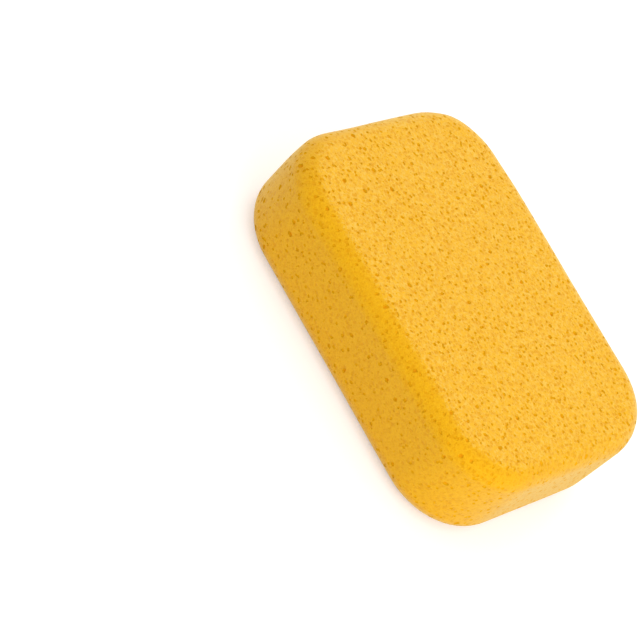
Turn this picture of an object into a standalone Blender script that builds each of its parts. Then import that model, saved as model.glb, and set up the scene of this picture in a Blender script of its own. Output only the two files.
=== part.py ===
"""A grout sponge: one block of open-cell foam with round corners and round rims.

It lies on a large face. Metres, +Z up, +X along the length, the origin in the middle of the underside.
"""

import math
import random

import bmesh
import bpy
from mathutils import Matrix, Vector

# The block
LENGTH = 0.1905
WIDTH = 0.13335
THICKNESS = 0.0508
CORNER_RADIUS = 0.036  # the four upright corners, seen from above
RIM_RADIUS = 0.010  # the edge between each large face and the side wall
CORNER_SEGMENTS = 9
RIM_SEGMENTS = 5
RIM_EDGE_ANGLE = math.radians(60)  # a rim is bent more than this before it is rounded

# The open pores in the skin
PORE_COUNT = 780
PORE_SIDES = 5
SMALLEST_PORE_RADIUS = 0.0007
LARGEST_PORE_RADIUS = 0.0014
PORE_DEPTH_RATIO = 1.25  # depth over radius
PORE_STRETCH = 1.35  # the most that a mouth is drawn out in one direction
PORE_UNEVENNESS = 0.16  # how far a corner of a mouth may stray, as a share of the radius
PORE_WALL = 0.0012  # the least foam between two mouths
CUTTER_LIFT = 0.0006  # how far a cutter stands out of the skin
WHOLE_SPOT_RADIUS = 0.004  # the middle of each large face has no pore
SAMPLING_BAND = 0.0005  # how deep under the skin a random point counts as on it
TRIES_PER_PORE = 20
PORE_SEED = 7

# The finish
FOAM_COLOUR = (0.88, 0.47, 0.045, 1.0)
FOAM_ROUGHNESS = 0.9


def clear_scene():
    """Removes what the file holds at the start."""
    for old in list(bpy.data.objects):
        bpy.data.objects.remove(old)


def new_collection(name):
    """A collection of that name in the scene."""
    collection = bpy.data.collections.new(name)
    bpy.context.scene.collection.children.link(collection)
    return collection


def new_object(name, mesh_tool, collection):
    """Turns an edit mesh into an object."""
    mesh = bpy.data.meshes.new(name)
    mesh_tool.to_mesh(mesh)
    mesh_tool.free()
    made = bpy.data.objects.new(name, mesh)
    collection.objects.link(made)
    return made


def foam_material():
    """Matte yellow foam."""
    material = bpy.data.materials.new("foam")
    material.use_nodes = True
    shader = material.node_tree.nodes["Principled BSDF"]
    shader.inputs["Base Color"].default_value = FOAM_COLOUR
    shader.inputs["Roughness"].default_value = FOAM_ROUGHNESS
    shader.inputs["Metallic"].default_value = 0.0
    return material


def bevel(mesh_tool, edges, radius, segments):
    """Rounds those edges with a circular arc."""
    bmesh.ops.bevel(
        mesh_tool,
        geom=edges,
        offset=radius,
        offset_type="OFFSET",
        segments=segments,
        profile=0.5,
        affect="EDGES",
    )


def is_upright(edge):
    """Whether an edge runs along Z."""
    start, end = (vertex.co for vertex in edge.verts)
    return abs(start.z - end.z) > THICKNESS / 2


def is_rim(edge):
    """Whether an edge joins a large face to the side wall."""
    start, end = (vertex.co for vertex in edge.verts)
    level = abs(start.z - end.z) < THICKNESS / 2
    return level and edge.calc_face_angle() > RIM_EDGE_ANGLE


def rounded_block():
    """The block without its pores: a box with its upright corners rounded, and then its rims."""
    block = bmesh.new()
    bmesh.ops.create_cube(block, size=1.0)
    bmesh.ops.scale(block, vec=(LENGTH, WIDTH, THICKNESS), verts=block.verts)
    bmesh.ops.translate(block, vec=(0, 0, THICKNESS / 2), verts=block.verts)
    bevel(block, [edge for edge in block.edges if is_upright(edge)], CORNER_RADIUS, CORNER_SEGMENTS)
    bevel(block, [edge for edge in block.edges if is_rim(edge)], RIM_RADIUS, RIM_SEGMENTS)
    return block


def clamped(value, lowest, highest):
    """The value, kept between two limits."""
    return min(max(value, lowest), highest)


def nearest_in_core(point):
    """The nearest point of the core, which is the block with the rim radius taken off all round."""
    straight_x = LENGTH / 2 - CORNER_RADIUS
    straight_y = WIDTH / 2 - CORNER_RADIUS
    bend_centre = Vector((
        clamped(point.x, -straight_x, straight_x),
        clamped(point.y, -straight_y, straight_y),
    ))
    across = point.xy - bend_centre
    core_radius = CORNER_RADIUS - RIM_RADIUS
    if across.length > core_radius:
        across *= core_radius / across.length
    height = clamped(point.z, RIM_RADIUS, THICKNESS - RIM_RADIUS)
    return (bend_centre + across).to_3d() + Vector((0, 0, height))


def skin_place(rng):
    """A place on the skin, drawn evenly by area, and the direction straight out of it."""
    while True:
        point = Vector((
            rng.uniform(-LENGTH / 2, LENGTH / 2),
            rng.uniform(-WIDTH / 2, WIDTH / 2),
            rng.uniform(0, THICKNESS),
        ))
        core = nearest_in_core(point)
        away = point - core
        if 0 <= RIM_RADIUS - away.length < SAMPLING_BAND:
            outward = away.normalized()
            return core + outward * RIM_RADIUS, outward


def pore_radius(rng):
    """A pore's radius: mostly small, now and then large."""
    spread = LARGEST_PORE_RADIUS - SMALLEST_PORE_RADIUS
    share = rng.random()
    return SMALLEST_PORE_RADIUS + spread * share * share


def in_whole_spot(place, radius):
    """Whether a pore would reach into the middle of a large face."""
    on_large_face = min(place.z, THICKNESS - place.z) < RIM_RADIUS
    return on_large_face and place.xy.length < WHOLE_SPOT_RADIUS + radius * PORE_STRETCH


def pore_places(rng):
    """The pores as (place, direction out of the skin, radius), with foam left between their mouths."""
    pores = []
    for _ in range(PORE_COUNT * TRIES_PER_PORE):
        if len(pores) == PORE_COUNT:
            break
        place, outward = skin_place(rng)
        radius = pore_radius(rng)
        reach = radius * PORE_STRETCH * (1 + PORE_UNEVENNESS) + PORE_WALL / 2
        if in_whole_spot(place, radius):
            continue
        if all((place - other).length > reach + taken for other, _, _, taken in pores):
            pores.append((place, outward, radius, reach))
    return [pore[:3] for pore in pores]


def add_pit(cutter, place, outward, radius, rng):
    """Adds one pore's cutter: a cone with its point in the foam and its wide end above the skin."""
    depth = radius * PORE_DEPTH_RATIO
    cone = bmesh.ops.create_cone(
        cutter,
        cap_ends=True,
        segments=PORE_SIDES,
        radius1=0.0,
        radius2=radius * (1 + CUTTER_LIFT / depth),
        depth=depth + CUTTER_LIFT,
    )["verts"]
    for vertex in cone:
        vertex.co.xy *= rng.uniform(1 - PORE_UNEVENNESS, 1 + PORE_UNEVENNESS)
    stretch = rng.uniform(1.0, PORE_STRETCH)
    onto_skin = (
        Matrix.Translation(place)
        @ outward.to_track_quat("Z", "Y").to_matrix().to_4x4()
        @ Matrix.Rotation(rng.uniform(0, math.tau), 4, "Z")
        @ Matrix.Diagonal((stretch, 1 / stretch, 1, 1))
        @ Matrix.Translation((0, 0, (CUTTER_LIFT - depth) / 2))
    )
    bmesh.ops.transform(cutter, matrix=onto_skin, verts=cone)


def pore_cutters():
    """All the pores' cutters in one mesh."""
    rng = random.Random(PORE_SEED)
    cutter = bmesh.new()
    for place, outward, radius in pore_places(rng):
        add_pit(cutter, place, outward, radius, rng)
    return cutter


def make_sponge():
    """The sponge, its skin smooth and its pores crisp."""
    parts = new_collection("grout_sponge")
    cutters = new_collection("cutters")

    sponge = new_object("sponge", rounded_block(), parts)
    sponge.data.materials.append(foam_material())
    sponge.data.shade_smooth()

    pores = new_object("pore_cutters", pore_cutters(), cutters)
    pores.data.shade_flat()
    pores.hide_render = True
    pores.display_type = "WIRE"

    cut = sponge.modifiers.new("Pores", "BOOLEAN")
    cut.operation = "DIFFERENCE"
    cut.object = pores


clear_scene()
make_sponge()
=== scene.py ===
"""The looks of a grout sponge: porous yellow foam on a pale floor. Metres, in the frame's own axes."""

import math

import bmesh
import bpy
import numpy as np
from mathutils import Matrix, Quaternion, Vector, noise


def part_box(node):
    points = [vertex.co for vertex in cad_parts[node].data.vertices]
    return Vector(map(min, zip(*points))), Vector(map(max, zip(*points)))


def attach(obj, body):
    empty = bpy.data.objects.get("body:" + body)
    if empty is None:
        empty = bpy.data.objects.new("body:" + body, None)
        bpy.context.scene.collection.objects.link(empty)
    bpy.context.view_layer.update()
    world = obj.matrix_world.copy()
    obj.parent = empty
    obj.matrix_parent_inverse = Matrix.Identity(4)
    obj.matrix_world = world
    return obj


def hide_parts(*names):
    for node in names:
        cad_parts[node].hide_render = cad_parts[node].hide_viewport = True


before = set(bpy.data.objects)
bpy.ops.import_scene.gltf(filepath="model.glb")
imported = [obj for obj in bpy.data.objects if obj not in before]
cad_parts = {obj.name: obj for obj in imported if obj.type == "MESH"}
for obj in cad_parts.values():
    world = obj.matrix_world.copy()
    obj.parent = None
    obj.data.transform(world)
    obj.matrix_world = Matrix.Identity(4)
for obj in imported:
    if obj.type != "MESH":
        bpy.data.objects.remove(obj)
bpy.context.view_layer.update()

TINY = 1e-9  # keeps lengths that are divided by above 0
WHITE = (1.0, 1.0, 1.0, 1.0)

# The block, from the frame
LOWEST, HIGHEST = (np.array(corner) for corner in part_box("sponge"))
LENGTH, WIDTH, THICKNESS = (float(side) for side in HIGHEST - LOWEST)
CORNER_RADIUS = 0.036
RIM_RADIUS = 0.010
CORNER_SEGMENTS = 16
RIM_SEGMENTS = 8
RIM_EDGE_ANGLE = math.radians(60)  # a rim is bent more than this before it is rounded
SLICE = 0.009  # the widest stretch of skin between two slices, so that the skin can be uneven
SLICE_MERGE = 1e-6

# The large pores, which the frame has as pits
PIT_DEPTH_RATIO = 1.25  # a pit of the frame is this many times as deep as its mouth's radius
LEAST_PIT_DEPTH = 0.0005  # only the pits' bottoms lie deeper than this under the skin
MERGE_DECIMALS = 6  # points that agree to this many decimals are one

# The torn pores along the upper edge of the wall
TORN_PORES = {"count": 150, "smallest": 0.00070, "largest": 0.00098, "bias": 1.0}
TORN_BAND = 0.032  # they start this far up
TORN_LEAST_SLOPE = 0.35  # and lie where the skin is at least this steep: 0 is level, 1 upright

# The fine pores all over. A bias above 1 makes small ones more common
FINE_PORES = {"count": 8600, "smallest": 0.00052, "largest": 0.00098, "bias": 1.5}

# Where the torn and the fine pores go
STRING_SHARE = 0.45  # how often a pore has another one joined on to it
STRING_STEP = 0.78  # from one joined pore to the next, as a share of their radii together
STRING_WANDER = 0.6  # how much a string of joined pores turns at each step
WALL_THINNING = 0.40  # the share of them that the wall lacks, next to the faces
PORE_WALL = 0.00020  # the least foam between pores that aren't joined
MOUTH_REACH = 1.15  # how far an uneven mouth reaches, in radii
PORE_GROUPS = 3  # the groups are cut one after another, so that joined pores aren't cut together
GRID_CELL = 0.005  # pores further apart than this never meet
PROBES = 1_300_000  # random points in the block's box, to find places on the skin
SAMPLING_BAND = 0.0005  # how deep under the skin such a point counts as on it
PORE_SEED = 23

# A pore's shape: its sides, the rings under its mouth as (radius, depth), and its bottom's depth, in radii
LARGE_PORE = {"from": 0.0010, "sides": 9, "rings": ((0.90, 0.26), (0.6, 0.52)), "bottom": 0.60}
MIDDLE_PORE = {"from": 0.0008, "sides": 7, "rings": ((0.76, 0.45),), "bottom": 0.68}
SMALL_PORE = {"from": 0.0, "sides": 5, "rings": (), "bottom": 0.76}
CORNER_SHIFT = 0.25  # how far a corner of the mouth may stray along it, in sides
UNEVENNESS = 0.24  # and in or out, in radii
STRETCH = 1.4  # how many times as long as wide a mouth may be
LEAN = 0.35  # how far a pore may lean, sideways over downwards
WALL_SHALLOWNESS = 0.25  # how much less deep a middle or small pore is on the wall than on the faces
CUTTER_LIFT = 0.0004  # how far a cutter stands out of the skin
PORE_SLOT = 1  # the pores' material, after the skin's
PIT_SOFTNESS = 0.78  # how far the light evens out inside a pore

# The skin's slow waves
WAVES = ((0.045, 0.00035), (0.017, 0.00012))  # (length, height)
FLAT_UNDERSIDE = 0.012  # the waves die out towards the floor over this height

# Soft bulges and a dent of the outline, as (middle, reach, height)
BULGES = (
    ((-0.093, -0.050, 0.020), 0.020, 0.0006),
    ((-0.0925, -0.0445, 0.033), 0.012, 0.0006),
    ((-0.085, 0.050, 0.0485), 0.010, 0.0008),
    ((-0.060, 0.062, 0.0480), 0.010, -0.0004),
    ((-0.015, 0.063, 0.0480), 0.035, 0.0004),
    ((0.080, 0.055, 0.0480), 0.012, 0.0004),
)

# The foam's colours
FLECK_AND_PAINTED_SHEEN_COLOUR = (0.95, 0.556, 0.060, 1.0)  # pale flecks on the two large faces: partly the faces' paler skin, partly painted sheen
SKIN_COLOUR = (0.95, 0.486, 0.0030, 1.0)
POCK_SHADE_AND_TONE_COLOUR = (0.85, 0.385, 0.0001, 1.0)  # painted shade in the shallow pocks, cells, clusters and the wall's grain, and the darker tone of the random mottle and patches
PORE_COLOUR = (0.95, 0.480, 0.006, 1.0)  # down in the pores, where light comes through the foam
PORE_SPAN = (0.00008, 0.00048)  # the depths where that starts and where it is full
DEEP_SHADE_COLOUR = (0.90, 0.365, 0.004, 1.0)  # painted shade far down in the large ones
DEEP_SHADE_SPAN = (0.00045, 0.00085)

# The foam's finish
ROUGHNESS = 0.60
POCK_ROUGHNESS = 0.25  # how much rougher it is in the pocks
SPECULAR = 0.05
SHEEN = 0.60  # on the skin
PORE_SHEEN = 0.0
SHEEN_ROUGHNESS = 0.48
SHEEN_COLOUR = (1.0, 1.0, 0.62, 1.0)

# Blotches have a size, and a span of the noise from none to full
# The pale flecks: partly the large faces' paler skin, partly painted sheen, kept off the sloping skin and
# most of all off the -Y rim
FLECK_AND_PAINTED_SHEEN_BLOTCHES = {"size": 0.0012, "span": (0.43, 0.61)}
FLECK_AND_PAINTED_SHEEN_SPAN = (0.74, 0.93)  # how level the skin is where the flecks and painted sheen start and where they are full: 1 is level
FLECK_AND_PAINTED_SHEEN_FALL = 0.4  # how much the skin's slope counts against them
FLECK_AND_PAINTED_SHEEN_RETREAT = 66.0  # how much more it counts towards -Y, for each metre, so that the painted sheen keeps further off the rim on that side
FLECK_AND_PAINTED_SHEEN_FRAY = {"size": 0.0035, "span": (0.2, 0.8), "strength": 0.26}  # what makes their border ragged
WALL_FLECKS_AND_PAINTED_SHEEN = 0.08  # how much of them shows on the wall

# The foam's grain: its cells, pocks, clusters and wall grain are darkened with painted shade, its mottle and
# patches with a random darker tone. Spots have a spacing, and filled is the share of them at half strength
# or more
CELLS = {"spacing": 0.0015, "filled": 0.8, "strength": 0.65, "bump": 0.4}
POCKS = {"spacing": 0.0025, "filled": 0.6, "strength": 0.95, "bump": 1.0}
CLUSTERS = {"size": 0.0024, "span": (0.50, 0.62), "strength": 0.40}
MOTTLE = {"size": 0.0060, "span": (0.35, 0.70), "strength": 0.08}
PATCHES = {"size": 0.025, "span": (0.35, 0.65), "strength": 0.06}
WALL_GRAIN = {"size": 0.0008, "span": (0.38, 0.66), "strength": 0.35, "bump": 0.6}  # on the wall only
WALL_SHARE = 0.70  # how strong the other layers are there, next to the faces
SPOT_EDGE = (0.44, 0.26)  # a spot's edge, from none to full, in spacings from its middle
SPOT_VARIETY = 0.2  # how gently spots differ in strength
WARP = {"size": 0.0016, "detail": 1.0, "distance": 0.0009}  # what makes the spots uneven
BLOTCH_DETAIL = 2.0
BUMP_HEIGHT = 0.00005

# The camera, as the photo was taken
CAMERA_AZIMUTH = math.radians(17.91)
CAMERA_ELEVATION = math.radians(42.67)
CAMERA_ROLL = math.radians(48.04)
CAMERA_DISTANCE = 1.1483
MIDDLE_RIGHT_OF_VIEW = 0.0590  # the sponge's middle, to the right of the middle of the picture
MIDDLE_ABOVE_VIEW = 0.0032
SENSOR = 36.0  # in millimetres, as the lens is
LENS = 138.3

# The stage
FLOOR_SIZE = 8.0
FLOOR_COLOUR = (0.80, 0.80, 0.80, 1.0)
FLOOR_LIFT = 0.38  # added where the floor is seen, so that it shows white
SKY_STRENGTH = 0.66
LAMPS = {
    "overhead": {"place": (0.0, 0.0, 1.2), "size": 0.9, "power": 1.8},
    "far_end": {"place": (0.72, -0.32, 0.45), "size": 0.8, "power": 3.35},
    "near_end": {"place": (-0.95, 0.20, 0.45), "size": 0.8, "power": 1.4},
    "behind": {"place": (-0.4, 0.95, 0.35), "size": 0.6, "power": 3.2},
}


def clamp_norm(vectors, longest):
    """Those vectors, none longer than the given length."""
    lengths = np.linalg.norm(vectors, axis=1, keepdims=True)
    return vectors * np.minimum(1.0, longest / np.maximum(lengths, TINY))


def nearest_in_core(points):
    """The nearest points of the core, which is the block with the rim radius taken off all round."""
    straight = np.array([LENGTH / 2 - CORNER_RADIUS, WIDTH / 2 - CORNER_RADIUS])
    bend_centres = np.clip(points[:, :2], -straight, straight)
    across = clamp_norm(points[:, :2] - bend_centres, CORNER_RADIUS - RIM_RADIUS)
    heights = np.clip(points[:, 2:], RIM_RADIUS, THICKNESS - RIM_RADIUS)
    return np.hstack([bend_centres + across, heights])


def outward_and_depth(points):
    """For each point, the direction straight out of the skin and how deep under the skin it lies."""
    away = points - nearest_in_core(points)
    distance = np.linalg.norm(away, axis=1)
    return away / np.maximum(distance, TINY)[:, None], RIM_RADIUS - distance


def onto_skin(points):
    """The points moved straight onto the skin, with the directions out of it."""
    outward, depth = outward_and_depth(points)
    return points + outward * depth[:, None], outward


def frame_pores():
    """The frame's pits, each known by its bottom, as (places on the skin, directions out of it, radii)."""
    points = np.array([vertex.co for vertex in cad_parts["sponge"].data.vertices])
    points = np.unique(np.round(points, MERGE_DECIMALS), axis=0)
    outward, depth = outward_and_depth(points)
    tips = depth > LEAST_PIT_DEPTH
    places = points[tips] + outward[tips] * depth[tips, None]
    return places, outward[tips], depth[tips] / PIT_DEPTH_RATIO


class PoreField:
    """The pores placed so far, in groups in which no two overlap, with a grid to find neighbours by."""

    def __init__(self):
        self.groups = [[] for _ in range(PORE_GROUPS)]
        self.grid = {}
        self.count = 0
        self.strings = 0

    def cell(self, place):
        """The grid's cell that a place is in."""
        return tuple(math.floor(value / GRID_CELL) for value in place)

    def near(self, place):
        """The pores in the cells round a place."""
        x, y, z = self.cell(place)
        for i in (x - 1, x, x + 1):
            for j in (y - 1, y, y + 1):
                for k in (z - 1, z, z + 1):
                    yield from self.grid.get((i, j, k), ())

    def new_string(self):
        """A number for a new string of joined pores."""
        self.strings += 1
        return self.strings

    def add(self, place, outward, radius, string):
        """Places a pore unless it meets one of another string. Says whether it did."""
        free = set(range(PORE_GROUPS))
        for other, other_radius, group, other_string in self.near(place):
            gap = math.dist(place, other) - (radius + other_radius) * MOUTH_REACH
            if gap > PORE_WALL:
                continue
            if string != other_string:
                return False
            free.discard(group)
        if not free:
            return False
        group = min(free)
        self.groups[group].append((place, outward, radius))
        self.grid.setdefault(self.cell(place), []).append((place, radius, group, string))
        self.count += 1
        return True


def random_skin_places(rng):
    """Places drawn evenly over the skin's area, and the directions straight out of it."""
    points = rng.uniform(LOWEST, HIGHEST, (PROBES, 3))
    outward, depth = outward_and_depth(points)
    near = (depth >= 0) & (depth < SAMPLING_BAND)
    return points[near] + outward[near] * depth[near, None], outward[near]


def pore_radius(sizes, rng):
    """A radius for one of those pores."""
    return sizes["smallest"] + (sizes["largest"] - sizes["smallest"]) * rng.random() ** sizes["bias"]


def unit(vector):
    """The vector at length 1."""
    return vector / np.linalg.norm(vector)


def grow_string(field, place, outward, sizes, string, rng):
    """Adds a pore there, and now and then more that run on from it in a wandering line."""
    radius = pore_radius(sizes, rng)
    heading = unit(np.cross(outward, rng.normal(size=3)))
    while field.add(place, outward, radius, string) and rng.random() < STRING_SHARE:
        next_radius = pore_radius(sizes, rng)
        heading = unit(heading + STRING_WANDER * rng.normal(size=3))
        step = heading * (radius + next_radius) * STRING_STEP
        (place,), (outward,) = onto_skin((place + step)[None])
        radius = next_radius


def in_torn_band(place, outward):
    """Whether a place is on the upper edge of the wall."""
    return place[2] > TORN_BAND and 1 - outward[2] > TORN_LEAST_SLOPE


def fill(field, sizes, places, rng):
    """Adds pores of those sizes at those places, until there are enough."""
    most = field.count + sizes["count"]
    for place, outward in places:
        if field.count >= most:
            break
        if rng.random() >= WALL_THINNING * (1 - abs(outward[2])):
            grow_string(field, place, outward, sizes, field.new_string(), rng)


def place_pores():
    """The frame's pores, the torn ones and the fine ones, in groups in which no two overlap."""
    rng = np.random.default_rng(PORE_SEED)
    field = PoreField()
    for place, outward, radius in zip(*frame_pores()):
        field.add(place, outward, radius, field.new_string())
    places = list(zip(*random_skin_places(rng)))
    fill(field, TORN_PORES, [spot for spot in places if in_torn_band(*spot)], rng)
    fill(field, FINE_PORES, places, rng)
    return field.groups


def pit_points(kind, radius, depth_share, rng):
    """A cutter's points, ring by ring down to its bottom, with its mouth at the origin and +Z outward."""
    sides = kind["sides"]
    angles = (np.arange(sides) + rng.uniform(-CORNER_SHIFT, CORNER_SHIFT, sides)) * math.tau / sides
    wall = rng.uniform(1 - UNEVENNESS, 1 + UNEVENNESS, sides)
    lean = rng.uniform(-LEAN, LEAN, 2)
    stretch = math.sqrt(rng.uniform(1.0, STRETCH))
    turn = rng.uniform(0, math.tau)
    points = []
    for share, depth in ((1.0, -CUTTER_LIFT / radius), *kind["rings"]):
        along = np.cos(angles) * wall * share * stretch + lean[0] * max(depth, 0)
        across = np.sin(angles) * wall * share / stretch + lean[1] * max(depth, 0)
        points.append(np.stack([along, across, np.full(sides, -depth)], axis=1))
    points.append(np.array([[*(lean * kind["bottom"]), -kind["bottom"]]]))
    points = np.vstack(points) * radius
    points[sides:, 2] *= depth_share
    cos, sin = math.cos(turn), math.sin(turn)
    return points @ np.array([[cos, sin, 0], [-sin, cos, 0], [0, 0, 1]])


def pit_faces(kind):
    """The faces that go with pit_points."""
    sides, rings_below = kind["sides"], len(kind["rings"])
    faces = [list(range(sides))]
    for ring in range(rings_below):
        for side in range(sides):
            after = (side + 1) % sides
            upper, lower = ring * sides, (ring + 1) * sides
            faces.append([upper + after, upper + side, lower + side, lower + after])
    last, bottom = rings_below * sides, (rings_below + 1) * sides
    for side in range(sides):
        faces.append([last + (side + 1) % sides, last + side, bottom])
    return faces


def pore_kind(radius):
    """The shape for a pore of that radius."""
    return next(kind for kind in (LARGE_PORE, MIDDLE_PORE, SMALL_PORE) if radius >= kind["from"])


def new_object(name, mesh):
    """An object of that mesh in the scene."""
    made = bpy.data.objects.new(name, mesh)
    bpy.context.scene.collection.objects.link(made)
    return made


def cutter_object(name, pores, materials, rng):
    """One mesh with a cutter for each of those pores."""
    all_points, all_faces, count = [], [], 0
    for place, outward, radius in pores:
        kind = pore_kind(radius)
        shallowness = 0 if kind is LARGE_PORE else WALL_SHALLOWNESS
        depth_share = 1 - shallowness * (1 - abs(outward[2]))
        points = pit_points(kind, radius, depth_share, rng)
        facing = np.array(Vector(outward).to_track_quat("Z", "Y").to_matrix())
        all_points.append(points @ facing.T + place)
        all_faces += [[count + corner for corner in face] for face in pit_faces(kind)]
        count += len(points)
    mesh = bpy.data.meshes.new(name)
    mesh.from_pydata(np.vstack(all_points), [], all_faces)
    for material in materials:
        mesh.materials.append(material)
    mesh.polygons.foreach_set("material_index", [PORE_SLOT] * len(mesh.polygons))
    return new_object(name, mesh)


def bevel(tool, edges, radius, segments):
    """Rounds those edges with a circular arc."""
    bmesh.ops.bevel(
        tool,
        geom=edges,
        offset=radius,
        offset_type="OFFSET",
        segments=segments,
        profile=0.5,
        affect="EDGES",
    )


def rise(edge):
    """How far an edge's ends differ in height."""
    start, end = (vertex.co.z for vertex in edge.verts)
    return abs(start - end)


def slice_along(tool, axis, length):
    """Cuts the mesh across one axis into stretches, so that its faces are small."""
    cuts = math.ceil(length / SLICE)
    for cut in range(1, cuts):
        place, normal = Vector(), Vector()
        place[axis] = LOWEST[axis] + length * cut / cuts
        normal[axis] = 1
        geometry = [*tool.verts, *tool.edges, *tool.faces]
        bmesh.ops.bisect_plane(tool, geom=geometry, plane_co=place, plane_no=normal, dist=SLICE_MERGE)


def block_object(materials):
    """The block without its pores."""
    tool = bmesh.new()
    bmesh.ops.create_cube(tool, size=1.0)
    bmesh.ops.scale(tool, vec=(LENGTH, WIDTH, THICKNESS), verts=tool.verts)
    bmesh.ops.translate(tool, vec=(0, 0, THICKNESS / 2), verts=tool.verts)
    upright = [edge for edge in tool.edges if rise(edge) > THICKNESS / 2]
    bevel(tool, upright, CORNER_RADIUS, CORNER_SEGMENTS)
    level = [edge for edge in tool.edges if rise(edge) < THICKNESS / 2]
    rims = [edge for edge in level if edge.calc_face_angle() > RIM_EDGE_ANGLE]
    bevel(tool, rims, RIM_RADIUS, RIM_SEGMENTS)
    for axis, length in enumerate((LENGTH, WIDTH, THICKNESS)):
        slice_along(tool, axis, length)
    mesh = bpy.data.meshes.new("foam_block")
    tool.to_mesh(mesh)
    tool.free()
    for material in materials:
        mesh.materials.append(material)
    return new_object("foam_block", mesh)


def cut_mesh(materials, groups):
    """The block's mesh with its pores cut, one group after another. Their faces keep the pores' material."""
    rng = np.random.default_rng(PORE_SEED)
    block = block_object(materials)
    for index, pores in enumerate(groups):
        cut = block.modifiers.new(f"Pores {index}", "BOOLEAN")
        cut.operation = "DIFFERENCE"
        cut.solver = "MANIFOLD"
        cut.object = cutter_object(f"pores_{index}", pores, materials, rng)
    graph = bpy.context.evaluated_depsgraph_get()
    mesh = bpy.data.meshes.new_from_object(block.evaluated_get(graph))
    for cutter in [modifier.object for modifier in block.modifiers]:
        bpy.data.objects.remove(cutter)
    bpy.data.objects.remove(block)
    return mesh


def wave(point):
    """How far the skin stands out at a point."""
    height = sum(size * noise.noise(point / length) for length, size in WAVES)
    for middle, reach, bulge in BULGES:
        height += bulge * math.exp(-((point - Vector(middle)).length / reach) ** 2)
    return height * min(1.0, point.z / FLAT_UNDERSIDE)


def make_uneven(mesh, outward):
    """Moves the skin and the pores in it in and out in slow waves."""
    for vertex, direction in zip(mesh.vertices, outward):
        vertex.co += Vector(direction) * wave(vertex.co)


def read_points(mesh):
    """The mesh's points as an array."""
    points = np.empty(len(mesh.vertices) * 3)
    mesh.vertices.foreach_get("co", points)
    return points.reshape(-1, 3)


def part_skin_from_pores(mesh, on_skin):
    """Makes the edges between skin and pores sharp, and all others smooth."""
    tool = bmesh.new()
    tool.from_mesh(mesh)
    for edge in tool.edges:
        sides = [on_skin[face.index] for face in edge.link_faces]
        edge.smooth = all(sides) or not any(sides)
    tool.to_mesh(mesh)
    tool.free()


def shade(mesh, outward):
    """Gives the skin the block's own smooth normals, and turns the pores' normals most of the way there."""
    on_skin = [face.material_index != PORE_SLOT for face in mesh.polygons]
    loop_vertices = np.empty(len(mesh.loops), int)
    mesh.loops.foreach_get("vertex_index", loop_vertices)
    mesh.shade_smooth()
    part_skin_from_pores(mesh, on_skin)
    normals = np.empty(len(mesh.loops) * 3)
    mesh.corner_normals.foreach_get("vector", normals)
    face_shares = np.where(on_skin, 1.0, PIT_SOFTNESS)
    shares = np.repeat(face_shares, [face.loop_total for face in mesh.polygons])[:, None]
    normals = normals.reshape(-1, 3) * (1 - shares) + outward[loop_vertices] * shares
    normals /= np.linalg.norm(normals, axis=1, keepdims=True)
    mesh.normals_split_custom_set(normals.tolist())


def store(mesh, name, values):
    """Keeps a number for each point, for the material."""
    attribute = mesh.attributes.new(name, "FLOAT", "POINT")
    attribute.data.foreach_set("value", values.astype(np.float32))


class Graph:
    """Adds nodes to a material and joins them."""

    # The colour mixer's sockets, which share their names with others
    MIX_SHARE, MIX_FIRST, MIX_SECOND = 0, 6, 7
    MIX_RESULT = 2

    def __init__(self, name):
        self.material = bpy.data.materials.new(name)
        self.material.use_nodes = True
        self.nodes = self.material.node_tree.nodes
        self.links = self.material.node_tree.links
        self.shader = self.nodes["Principled BSDF"]
        self.output = self.nodes["Material Output"]

    def put(self, socket, value):
        """Gives a socket a value, or joins it to another socket."""
        if isinstance(value, bpy.types.NodeSocket):
            self.links.new(value, socket)
        else:
            socket.default_value = value

    def node(self, kind, inputs, **settings):
        """Adds a node with those inputs, by name or index."""
        made = self.nodes.new("ShaderNode" + kind)
        for name, value in settings.items():
            setattr(made, name, value)
        for name, value in inputs.items():
            self.put(made.inputs[name], value)
        return made

    def stored(self, name):
        """A number that the mesh keeps for each point."""
        return self.node("Attribute", {}, attribute_name=name).outputs["Fac"]

    def math(self, operation, *values):
        """A number worked out from two or three others."""
        return self.node("Math", dict(enumerate(values)), operation=operation).outputs[0]

    def ramp(self, value, start, end):
        """0 at start and 1 at end, smooth between."""
        inputs = {"Value": value, "From Min": start, "From Max": end}
        return self.node("MapRange", inputs, interpolation_type="SMOOTHSTEP").outputs[0]

    def lift(self, value, least):
        """The least where the value is 0, and 1 where it is 1."""
        return self.math("MULTIPLY_ADD", value, 1 - least, least)

    def mix(self, share, first, second):
        """Two colours mixed."""
        inputs = {self.MIX_SHARE: share, self.MIX_FIRST: first, self.MIX_SECOND: second}
        return self.node("Mix", inputs, data_type="RGBA").outputs[self.MIX_RESULT]


def spots(graph, place, layer):
    """Round spots, 1 in their middles, each with its own strength."""
    cells = graph.node("TexVoronoi", {"Vector": place, "Scale": 1 / layer["spacing"]})
    inside = graph.ramp(cells.outputs["Distance"], *SPOT_EDGE)
    chance = graph.node("SeparateColor", {"Color": cells.outputs["Color"]}).outputs[0]
    half_strength = 1 - layer["filled"]
    strength = graph.ramp(chance, half_strength - SPOT_VARIETY, half_strength + SPOT_VARIETY)
    return graph.math("MULTIPLY", inside, strength)


def blotches(graph, place, layer):
    """Soft blotches, 0 to 1."""
    inputs = {"Vector": place, "Scale": 1 / layer["size"], "Detail": BLOTCH_DETAIL}
    return graph.ramp(graph.node("TexNoise", inputs).outputs["Fac"], *layer["span"])


def warped(graph, place):
    """The place, shifted a little by noise."""
    inputs = {"Vector": place, "Scale": 1 / WARP["size"], "Detail": WARP["detail"]}
    jitter = graph.node("TexNoise", inputs).outputs["Color"]
    inputs = {0: jitter, 1: (WARP["distance"],) * 3, 2: place}
    return graph.node("VectorMath", inputs, operation="MULTIPLY_ADD").outputs[0]


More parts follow.
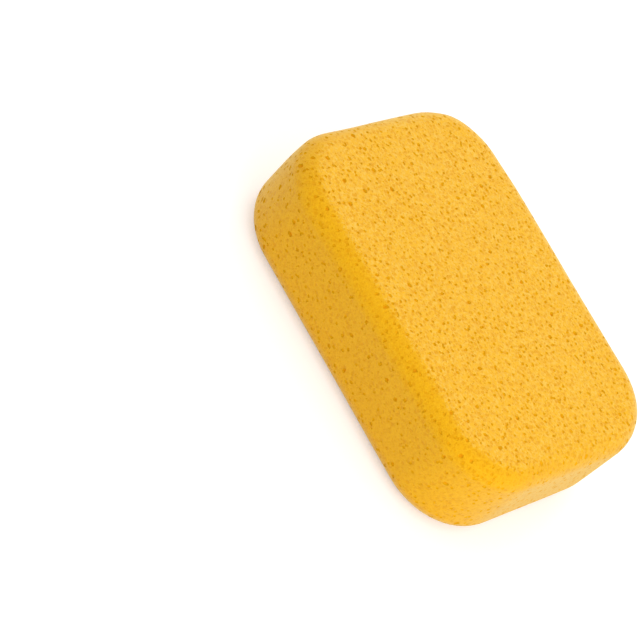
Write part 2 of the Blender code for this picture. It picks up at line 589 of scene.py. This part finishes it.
def fleck_and_painted_sheen_area(graph, place):
    """Where the pale flecks and painted sheen go: 1 on the large faces and 0 on the wall, with a ragged
    border round the rim.
    """
    across = graph.node("SeparateXYZ", {0: place}).outputs["Y"]
    fall = graph.math("MULTIPLY_ADD", graph.math("MINIMUM", across, 0.0), -FLECK_AND_PAINTED_SHEEN_RETREAT, FLECK_AND_PAINTED_SHEEN_FALL)
    slope = graph.math("SUBTRACT", 1.0, graph.stored("levelness"))
    least = graph.math("SUBTRACT", 1 - FLECK_AND_PAINTED_SHEEN_FRAY["strength"] / 2, graph.math("MULTIPLY", slope, fall))
    fray = blotches(graph, place, FLECK_AND_PAINTED_SHEEN_FRAY)
    return graph.ramp(graph.math("MULTIPLY_ADD", fray, FLECK_AND_PAINTED_SHEEN_FRAY["strength"], least), *FLECK_AND_PAINTED_SHEEN_SPAN)


def foam_grain(graph, place, on_face):
    """The grain of the skin as (how much it has of the painted pock shade and darker tone, its height)."""
    spot_place = warped(graph, place)
    cells = spots(graph, spot_place, CELLS)
    pocks = spots(graph, spot_place, POCKS)
    on_wall = graph.math("SUBTRACT", 1.0, on_face)
    wall_grain = graph.math("MULTIPLY", blotches(graph, place, WALL_GRAIN), on_wall)

    share = graph.math("MULTIPLY", cells, CELLS["strength"])
    share = graph.math("MULTIPLY_ADD", pocks, POCKS["strength"], share)
    for layer in (CLUSTERS, MOTTLE, PATCHES):
        share = graph.math("MULTIPLY_ADD", blotches(graph, place, layer), layer["strength"], share)
    share = graph.math("MULTIPLY", share, graph.lift(on_face, WALL_SHARE))
    share = graph.math("MULTIPLY_ADD", wall_grain, WALL_GRAIN["strength"], share)

    height = graph.math("MULTIPLY", pocks, -POCKS["bump"])
    height = graph.math("MULTIPLY_ADD", cells, -CELLS["bump"], height)
    height = graph.math("MULTIPLY_ADD", wall_grain, -WALL_GRAIN["bump"], height)
    return share, height


def foam_colour(graph, place, on_face, pock_shade_and_tone_share):
    """Flecks with painted sheen and pocks with painted shade on the skin, and down in the pores the colour
    of light through the foam, with painted shade far down.
    """
    flecks_and_painted_sheen = graph.math("MULTIPLY", blotches(graph, place, FLECK_AND_PAINTED_SHEEN_BLOTCHES), graph.lift(on_face, WALL_FLECKS_AND_PAINTED_SHEEN))
    skin = graph.mix(flecks_and_painted_sheen, SKIN_COLOUR, FLECK_AND_PAINTED_SHEEN_COLOUR)
    skin = graph.mix(graph.math("MINIMUM", pock_shade_and_tone_share, 1.0), skin, POCK_SHADE_AND_TONE_COLOUR)
    depth = graph.stored("pore_depth")
    pore = graph.mix(graph.ramp(depth, *DEEP_SHADE_SPAN), PORE_COLOUR, DEEP_SHADE_COLOUR)
    return graph.mix(graph.ramp(depth, *PORE_SPAN), skin, pore)


def foam_material(name, sheen):
    """Matte open-cell foam: pale skin, partly painted sheen, with fine cells and pocks in painted shade, and
    pores with a deeper colour that turns to painted shade far down.
    """
    graph = Graph(name)
    place = graph.node("TexCoord", {}).outputs["Object"]
    on_face = fleck_and_painted_sheen_area(graph, place)
    pock_shade_and_tone_share, height = foam_grain(graph, place, on_face)
    bump = graph.node("Bump", {"Strength": 1.0, "Distance": BUMP_HEIGHT, "Height": height})
    finish = {
        "Base Color": foam_colour(graph, place, on_face, pock_shade_and_tone_share),
        "Normal": bump.outputs[0],
        "Roughness": graph.math("MULTIPLY_ADD", pock_shade_and_tone_share, POCK_ROUGHNESS, ROUGHNESS),
        "Specular IOR Level": SPECULAR,
        "Sheen Weight": sheen,
        "Sheen Roughness": SHEEN_ROUGHNESS,
        "Sheen Tint": SHEEN_COLOUR,
    }
    for socket, value in finish.items():
        graph.put(graph.shader.inputs[socket], value)
    return graph.material


def make_sponge():
    """The sponge with its pores."""
    skin = foam_material("open_cell_foam", SHEEN)
    pores = foam_material("open_cell_foam_pores", PORE_SHEEN)
    mesh = cut_mesh([skin, pores], place_pores())
    outward, depth = outward_and_depth(read_points(mesh))
    store(mesh, "pore_depth", depth)
    store(mesh, "levelness", np.abs(outward[:, 2]))
    shade(mesh, outward)
    make_uneven(mesh, outward)
    sponge = new_object("foam_sponge", mesh)
    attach(sponge, "root")
    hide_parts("sponge")


def floor_material():
    """Plain and pale, shown white where no shadow falls."""
    graph = Graph("floor")
    pale = graph.node("BsdfDiffuse", {"Color": FLOOR_COLOUR})
    path = graph.node("LightPath", {}).outputs
    seen = graph.math("MAXIMUM", path["Is Camera Ray"], path["Is Glossy Ray"])
    seen = graph.math("MAXIMUM", seen, path["Is Transmission Ray"])
    glow = graph.node("Emission", {"Strength": graph.math("MULTIPLY", seen, FLOOR_LIFT)})
    both = graph.node("AddShader", {0: pale.outputs[0], 1: glow.outputs[0]})
    graph.put(graph.output.inputs["Surface"], both.outputs[0])
    return graph.material


def make_floor():
    """The floor, which isn't part of the object."""
    tool = bmesh.new()
    bmesh.ops.create_grid(tool, x_segments=1, y_segments=1, size=FLOOR_SIZE / 2)
    mesh = bpy.data.meshes.new("floor")
    tool.to_mesh(mesh)
    tool.free()
    mesh.materials.append(floor_material())
    new_object("floor", mesh)


def make_sky():
    """Even pale light from all round."""
    world = bpy.data.worlds.new("studio")
    world.use_nodes = True
    background = world.node_tree.nodes["Background"]
    background.inputs["Color"].default_value = WHITE
    background.inputs["Strength"].default_value = SKY_STRENGTH
    bpy.context.scene.world = world


def make_lamps():
    """Soft square lamps that face the sponge."""
    for name, lamp_is in LAMPS.items():
        data = bpy.data.lights.new(name, "AREA")
        data.size = lamp_is["size"]
        data.energy = lamp_is["power"]
        lamp = bpy.data.objects.new(name, data)
        lamp.location = lamp_is["place"]
        lamp.rotation_mode = "QUATERNION"
        lamp.rotation_quaternion = (-lamp.location).to_track_quat("-Z", "Y")
        bpy.context.scene.collection.objects.link(lamp)


def make_camera():
    """The photo's view, which is tilted so that the sponge seems to stand on a corner."""
    flat = math.cos(CAMERA_ELEVATION)
    back = Vector((
        math.sin(CAMERA_AZIMUTH) * flat,
        -math.cos(CAMERA_AZIMUTH) * flat,
        math.sin(CAMERA_ELEVATION),
    ))
    turn = (-back).to_track_quat("-Z", "Y") @ Quaternion((0, 0, 1), CAMERA_ROLL)
    offset = turn @ Vector((-MIDDLE_RIGHT_OF_VIEW, -MIDDLE_ABOVE_VIEW, CAMERA_DISTANCE))
    camera = bpy.data.objects.new("camera", bpy.data.cameras.new("camera"))
    camera.data.sensor_width = SENSOR
    camera.data.lens = LENS
    camera.rotation_mode = "QUATERNION"
    camera.rotation_quaternion = turn
    camera.location = Vector((0, 0, THICKNESS / 2)) + offset
    bpy.context.scene.collection.objects.link(camera)
    bpy.context.scene.camera = camera


bpy.context.scene.view_settings.view_transform = "Standard"
make_camera()
make_sky()
make_floor()
make_lamps()
make_sponge()
